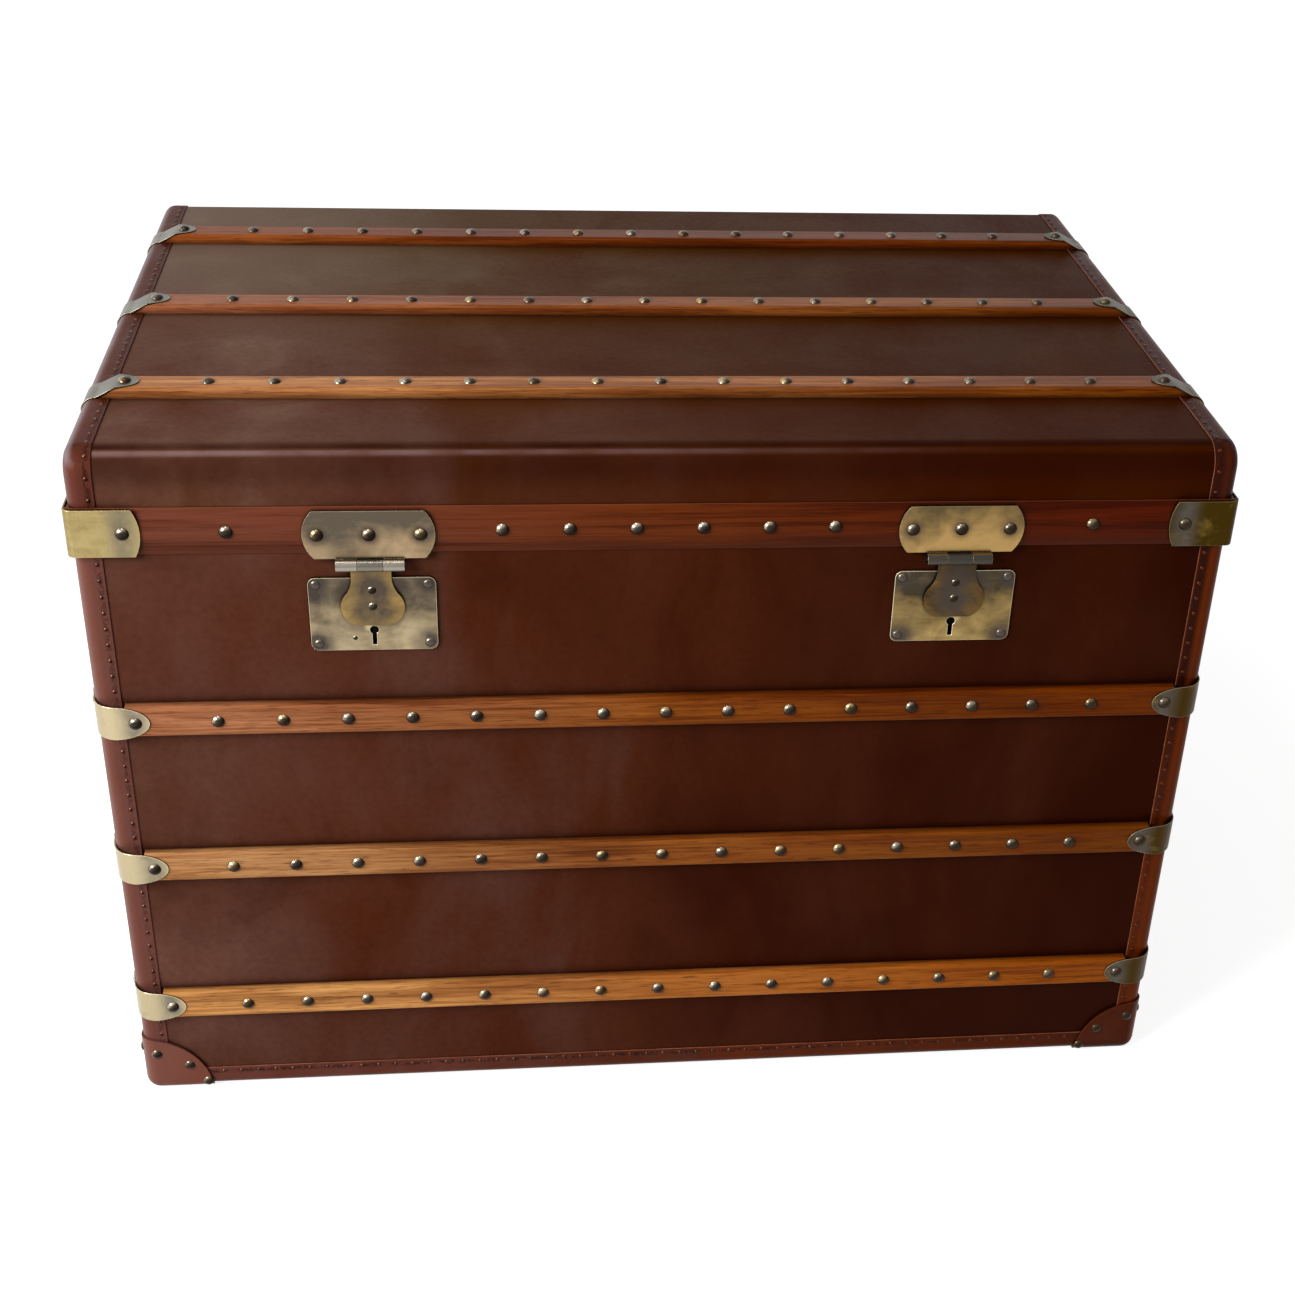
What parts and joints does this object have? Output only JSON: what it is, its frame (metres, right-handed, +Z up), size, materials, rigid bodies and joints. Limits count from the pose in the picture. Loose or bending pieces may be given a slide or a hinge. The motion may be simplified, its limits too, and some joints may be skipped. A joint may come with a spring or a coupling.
{
  "type": "travelling trunk",
  "caption": "Slatted leather travelling trunk with a hinged lid, wooden rim, brass corner clips, hasp locks and end handles.",
  "frame": {"origin": "on the floor under the middle of the closed trunk", "axes": "+X along the front to the right, -Y out of the front, +Z up"},
  "size_m": [0.946, 0.6304, 0.6292],
  "materials": {
    "panel_leather": "worn, dark red-brown, satin",
    "binding_leather": "polished red-brown",
    "grip_leather": "hand-worn",
    "slat_wood": "varnished, golden brown",
    "rim_wood": "stained red-brown, varnished",
    "board_wood": "bare",
    "lining": "plain weave",
    "brass": "aged, with dark patina",
    "nail_brass": "dark antique",
    "steel": "plain"
  },
  "bodies": {
    "case": {"bottom_board": "board_wood", "front_board": "board_wood", "back_board": "board_wood", "left_board": "board_wood", "right_board": "board_wood", "front_leather": "panel_leather", "back_leather": "panel_leather", "end_leathers": "panel_leather", "bottom_leather": "panel_leather", "case_lining": "lining", "corner_bindings": "binding_leather", "base_binding": "binding_leather", "base_corners": "binding_leather", "front_slat_upper": "slat_wood", "front_slat_middle": "slat_wood", "front_slat_lower": "slat_wood", "back_slats": "slat_wood", "left_slats": "slat_wood", "right_slats": "slat_wood", "slat_clips": "brass", "case_nails": "nail_brass", "lock_plate_left": "brass", "lock_plate_right": "brass", "lock_case_left": "steel", "lock_case_right": "steel", "hinge_leaf_left": "brass", "hinge_leaf_right": "brass", "hinge_pins": "steel", "handle_saddles": "brass"},
    "lid": {"lid_top_board": "board_wood", "lid_front_board": "board_wood", "lid_back_board": "board_wood", "lid_left_board": "board_wood", "lid_right_board": "board_wood", "lid_leather": "panel_leather", "lid_end_leathers": "panel_leather", "lid_lining": "lining", "lid_bindings": "binding_leather", "lid_rim": "rim_wood", "rim_clamps": "brass", "lid_slat_front": "slat_wood", "lid_slat_middle": "slat_wood", "lid_slat_rear": "slat_wood", "lid_slat_caps": "brass", "lid_nails": "nail_brass", "hasp_plate_left": "brass", "hasp_plate_right": "brass", "hasp_pins": "steel", "lid_hinge_leaf_left": "brass", "lid_hinge_leaf_right": "brass"},
    "hasp_left": {"hasp_left": "brass"},
    "bolt_left": {"lock_bolt_left": "steel"},
    "handle_left": {"handle_bail_left": "brass", "handle_grip_left": "grip_leather"},
    "hasp_right": {"hasp_right": "brass"},
    "bolt_right": {"lock_bolt_right": "steel"},
    "handle_right": {"handle_bail_right": "brass", "handle_grip_right": "grip_leather"}
  },
  "joints": [
    {"name": "lid_hinge", "type": "hinge", "parent": "case", "child": "lid", "pos_m": [0, 0.3103, 0.533], "axis": [-1, 0, 0], "range_deg": [0, 100]},
    {"name": "hasp_left_hinge", "type": "hinge", "parent": "lid", "child": "hasp_left", "pos_m": [-0.22995, -0.3093, 0.5255], "axis": [-1, 0, 0], "range_deg": [0, 150]},
    {"name": "bolt_left_slide", "type": "slide", "parent": "case", "child": "bolt_left", "axis": [1, 0, 0], "range_m": [0, 0.01]},
    {"name": "handle_left_hinge", "type": "hinge", "parent": "case", "child": "handle_left", "pos_m": [-0.464, 0, 0.34509], "axis": [0, 1, 0], "range_deg": [0, 90]},
    {"name": "hasp_right_hinge", "type": "hinge", "parent": "lid", "child": "hasp_right", "pos_m": [0.22995, -0.3093, 0.5255], "axis": [-1, 0, 0], "range_deg": [0, 150]},
    {"name": "bolt_right_slide", "type": "slide", "parent": "case", "child": "bolt_right", "axis": [1, 0, 0], "range_m": [0, 0.01]},
    {"name": "handle_right_hinge", "type": "hinge", "parent": "case", "child": "handle_right", "pos_m": [0.464, 0, 0.34509], "axis": [0, -1, 0], "range_deg": [0, 90]}
  ]
}
